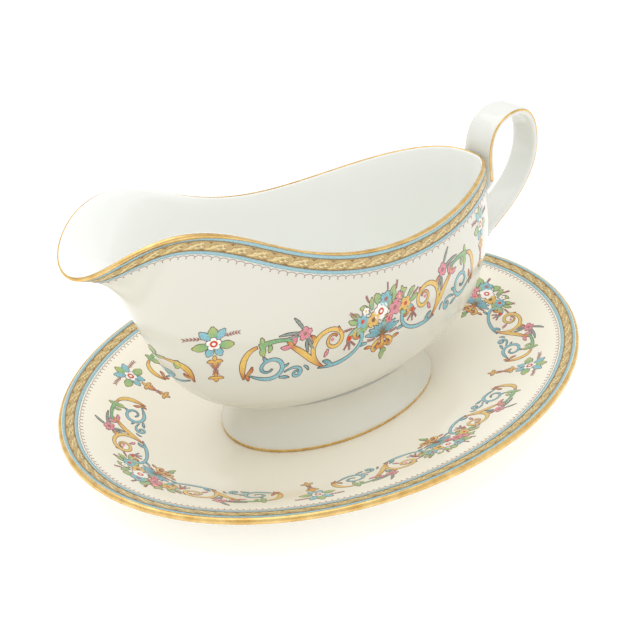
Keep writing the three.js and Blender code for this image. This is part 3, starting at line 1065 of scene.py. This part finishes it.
def draw_spray(d, course, along, down, size, height):
    for side in (1, -1):
        d.frame(course, along, down, size, height, side)
        draw_half_spray(d)
    d.frame(course, along, down, size, height)
    draw_posy(d)


def draw_prow(d, course, along, down):
    """A small pair of arches, back to back under the spout."""
    for side in (1, -1):
        d.frame(course, along, down, 1.0, 1.0, side)
        d.stroke(
            "yellow", curl(10.4, 2.6, 96, 17.5, 0, 40, 90, 150, 60),
            [0.3, 1.6, 2.4, 2.3, 1.4, 0.5], (1, 0.4, 0, 0, 0.6),
        )
        d.petals("yellow", (0.4, 1), (9.8, 4.6, 158, 3.8, 1.4, -60))
        d.petals("green", TO_LEAF_TIP, (6.4, 15.2, -80, 5.0, 2.3, -40))
        d.stroke(
            "blue", curl(8.8, 3.2, 206, 26, -20, -160, -420, -600, -820, -1000, count=34),
            [0.4, 1.3, 1.5, 1.3, 1.0, 0.6], (0.7, 0, 0, 0.6),
        )
    d.frame(course, along, down)
    d.petals("green", TO_LEAF_TIP, (0, 16.6, 90, 4.4, 2.2, 0), (0, 14.8, 140, 3.4, 1.8, 30),
             (0, 14.8, 40, 3.4, 1.8, -30))


def draw_drop(d, course, along, down, size, height):
    """A blossom cross with a pendant of gold leaves below it."""
    for side in (1, -1):
        d.frame(course, along, down, size, height, side)
        d.twig(3.4, 2.6, 20, 8.4, -24)
        d.petals("green", TO_LEAF_TIP, (2.0, -0.6, -14, 6.4, 4.4, 14))
        d.petals("blue", (0.1, 0), (1.6, 2.2, 52, 5.4, 3.6, 0), (0.9, -2.0, -64, 4.6, 3.6, 0))
        d.petals("yellow", (0, 0.5), (0.4, -8.7, -8, 2.8, 2.0, 0))
        d.twig(1.5, -16.4, 112, 7.6, 10)
        d.petals("yellow", (0, 0.5), (0.4, -17.6, -14, 3.0, 1.7, 0))
    d.frame(course, along, down, size, height)
    d.petals("green", TO_LEAF_TIP, (0, 2.0, 90, 6.2, 4.2, 0))
    d.flower(0, 0, 2.9, 5, "white", "red", level=2)
    d.target(0, 0, 1.65, 0.75)
    d.petals("yellow", (0, 0.3), (0, -8.4, 90, 2.4, 1.8, 0))
    d.petals("yellow", (0.1, 1), (0, -8.8, -90, 4.4, 2.8, 0), (0, -17.4, 90, 3.0, 1.6, 0))
    d.petals("yellow", (0.1, 0.6), (0, -17.6, -90, 2.8, 2.4, 0))


def repeats_round(course, period):
    """Middle of each repeat along a course, and the length that makes them fit exactly."""
    count = round(course.girth / period)
    size = course.girth / count
    return [(n + 0.5) * size - course.girth / 2 for n in range(count)], size


# The leaves between two dark lines, drawn for a band this wide: x, y, heading, length, turn.
LEAF_BAND_WIDTH = 4.2
BAND_LEAVES = (
    (-2.4, -0.8, 62, 2.5, -90), (-0.8, -0.2, 52, 2.2, -90), (0.9, 0.3, 34, 2.4, -90),
    (0.2, -0.7, -26, 2.2, 50), (2.2, -0.3, -24, 2.0, 40),
)


def draw_leaf_band(d, course, start, width, period):
    """Running leaves on the tan band, with dark lines between them."""
    middles, size = repeats_round(course, period)
    scale = width / LEAF_BAND_WIDTH
    reach = size / scale
    for middle in middles:
        d.frame(course, middle, start + width / 2, scale)
        stem = curl(-0.47 * reach, -1.3, 4, 0.94 * reach, 40, 60, -50, -110, count=16)
        d.ribbon("leaf", stem, [0.3, 0.8, 1.0, 0.8, 0.3], 1)
        for leaf in BAND_LEAVES:
            line = curl(*leaf, count=7)
            d.ribbon("umber", line, [0.5, 0.95, 0.3], 1, grow=0.1)
            d.ribbon("leaf", line, [0.5, 0.85, 0.2], 2)
        for place in ((-0.44 * reach, 1.7, -30, 2.4, 60), (0.26 * reach, -1.8, 30, 2.2, -60)):
            d.ribbon("umber", curl(*place, count=7), [0.15, 0.4, 0.15], 1)
        d.disc("umber", -0.3 * reach, 1.2, 0.32, 1, 8)
    for edge in (0.06, width - 0.06):
        line = np.linspace(-course.girth / 2, course.girth / 2, 900)
        d.frame(course, 0, start + edge)
        d.ribbon("umber", np.stack([line, line * 0], -1), [0.22, 0.22], 1)


def draw_scallops(d, course, down, period, depth):
    """A row of hanging arcs, with a drop where two of them meet."""
    middles, size = repeats_round(course, period)
    share = np.linspace(-1, 1, 11)
    arc = np.stack([share * size / 2, -depth * share**2], -1)
    for middle in middles:
        d.frame(course, middle, down)
        d.ribbon("mauve", arc, [0.26, 0.2, 0.26], 1)
        d.ribbon("mauve", curl(size / 2, -depth, -90, 0.9, 0, count=4), [0.22, 0.3, 0.55], 1)


def draw_on_boat():
    d = Drawing(bowl_skin, "boat", BOWL)
    for side in (-1, 1):
        middle = BELLY_COURSE.at(side * SPRAY_ANGLE)
        draw_spray(d, BELLY_COURSE, middle, down=3.0, size=0.97, height=1.0)
        for step in (-DROP_DISTANCE, DROP_DISTANCE):
            draw_drop(d, BELLY_COURSE, middle + step, down=-19.5, size=0.8, height=0.96)
    draw_prow(d, BELLY_COURSE, BELLY_COURSE.at(180), down=3.0)
    start, end = RIM_BORDER[1][0], RIM_BORDER[1][-1]
    draw_leaf_band(d, RIM_COURSE, start, end - start, period=9.0)
    draw_scallops(d, RIM_COURSE, down=7.85, period=3.7, depth=0.6)
    d.finish()


def draw_on_stand():
    d = Drawing(stand_skin, "stand", STAND)
    for degrees in (-90, 0, 90, 180):
        draw_spray(d, DISH_COURSE, DISH_COURSE.at(degrees), down=0.0, size=0.76, height=0.76)
    for degrees in (-128, -49, 49, 128):
        draw_drop(d, DISH_COURSE, DISH_COURSE.at(degrees), down=-14.0, size=0.7, height=0.9)
    start, end = STAND_BORDER[1][0], STAND_BORDER[1][-1]
    draw_leaf_band(d, EDGE_COURSE, start - EDGE_LINE, end - start, period=8.0)
    draw_scallops(d, EDGE_COURSE, down=8.3 - EDGE_LINE, period=2.4, depth=0.5)
    d.finish()


# Place of the sprays on the boat, in degrees from the handle, and how far along from the
# middle of a spray its drops are.
SPRAY_ANGLE = 92.6
DROP_DISTANCE = 69
draw_on_boat()
draw_on_stand()


# ---- floor, light and camera
def make_floor():
    mesh = bpy.data.meshes.new("floor")
    side = FLOOR_REACH
    corners = [(-side, -side, 0), (side, -side, 0), (side, side, 0), (-side, side, 0)]
    mesh.from_pydata(corners, [], [(0, 1, 2, 3)])
    floor = bpy.data.objects.new("floor", mesh)
    bpy.context.collection.objects.link(floor)
    nodes = Nodes("floor_paper")
    nodes.colour(nodes.noise(3, 2), (246, 246, 246), (249, 249, 249))
    nodes.set(Roughness=0.9, Emission_Color=(1, 1, 1, 1), Emission_Strength=0.22)
    mesh.materials.append(nodes.material)


def area_light(name, place, target, size, power):
    light = bpy.data.lights.new(name, "AREA")
    light.shape = "RECTANGLE"
    light.size, light.size_y = size
    light.energy = power
    lamp = bpy.data.objects.new(name, light)
    lamp.location = place
    lamp.rotation_euler = (Vector(target) - Vector(place)).to_track_quat("-Z", "Y").to_euler()
    bpy.context.collection.objects.link(lamp)


def make_world(strength):
    world = bpy.data.worlds.new("studio")
    world.use_nodes = True
    background = world.node_tree.nodes["Background"]
    background.inputs["Color"].default_value = (1, 1, 1, 1)
    background.inputs["Strength"].default_value = strength
    bpy.context.scene.world = world


def make_camera():
    """The camera, turned round the upright axis, raised, and slightly tilted."""
    turn = Matrix.Rotation(math.radians(CAMERA_TURN), 4, "Z")
    rise = Matrix.Rotation(math.radians(90 - CAMERA_RISE), 4, "X")
    roll = Matrix.Rotation(math.radians(CAMERA_ROLL), 4, "Z")
    away = Matrix.Translation((0, 0, CAMERA_DISTANCE))
    lens = bpy.data.cameras.new("camera")
    lens.sensor_width = SENSOR
    lens.lens = LENS
    lens.shift_x, lens.shift_y = SHIFT
    lens.clip_start, lens.clip_end = 0.01, 20
    camera = bpy.data.objects.new("camera", lens)
    camera.matrix_world = Matrix.Translation(CAMERA_TARGET) @ turn @ rise @ roll @ away
    bpy.context.collection.objects.link(camera)
    bpy.context.scene.camera = camera


# Lengths here are in metres, and the camera's angles are in degrees.
FLOOR_REACH = 4.0
CAMERA_TURN = -43.37
CAMERA_RISE = 30.8
CAMERA_ROLL = -0.72
CAMERA_DISTANCE = 0.61903
CAMERA_TARGET = (0, 0, 0.040)
# Lens and sensor in millimetres, and the shift of the frame as a share of its width.
SENSOR = 36.0
LENS = 88.1386
SHIFT = (-0.018673, 0.004376)

make_floor()
area_light("overhead_softbox", (-0.1, 0.15, 1.3), (0, 0, 0), (1.4, 1.4), 6.8)
area_light("left_softbox", (-1.2, -0.3, 0.7), (0, 0, 0.05), (0.8, 1.0), 0.5)
area_light("right_fill", (0.7, -1.1, 0.45), (0, 0, 0.05), (0.9, 0.7), 0.35)
make_world(0.93)
make_camera()
bpy.context.scene.view_settings.view_transform = "Standard"
bpy.context.scene.view_settings.look = "None"
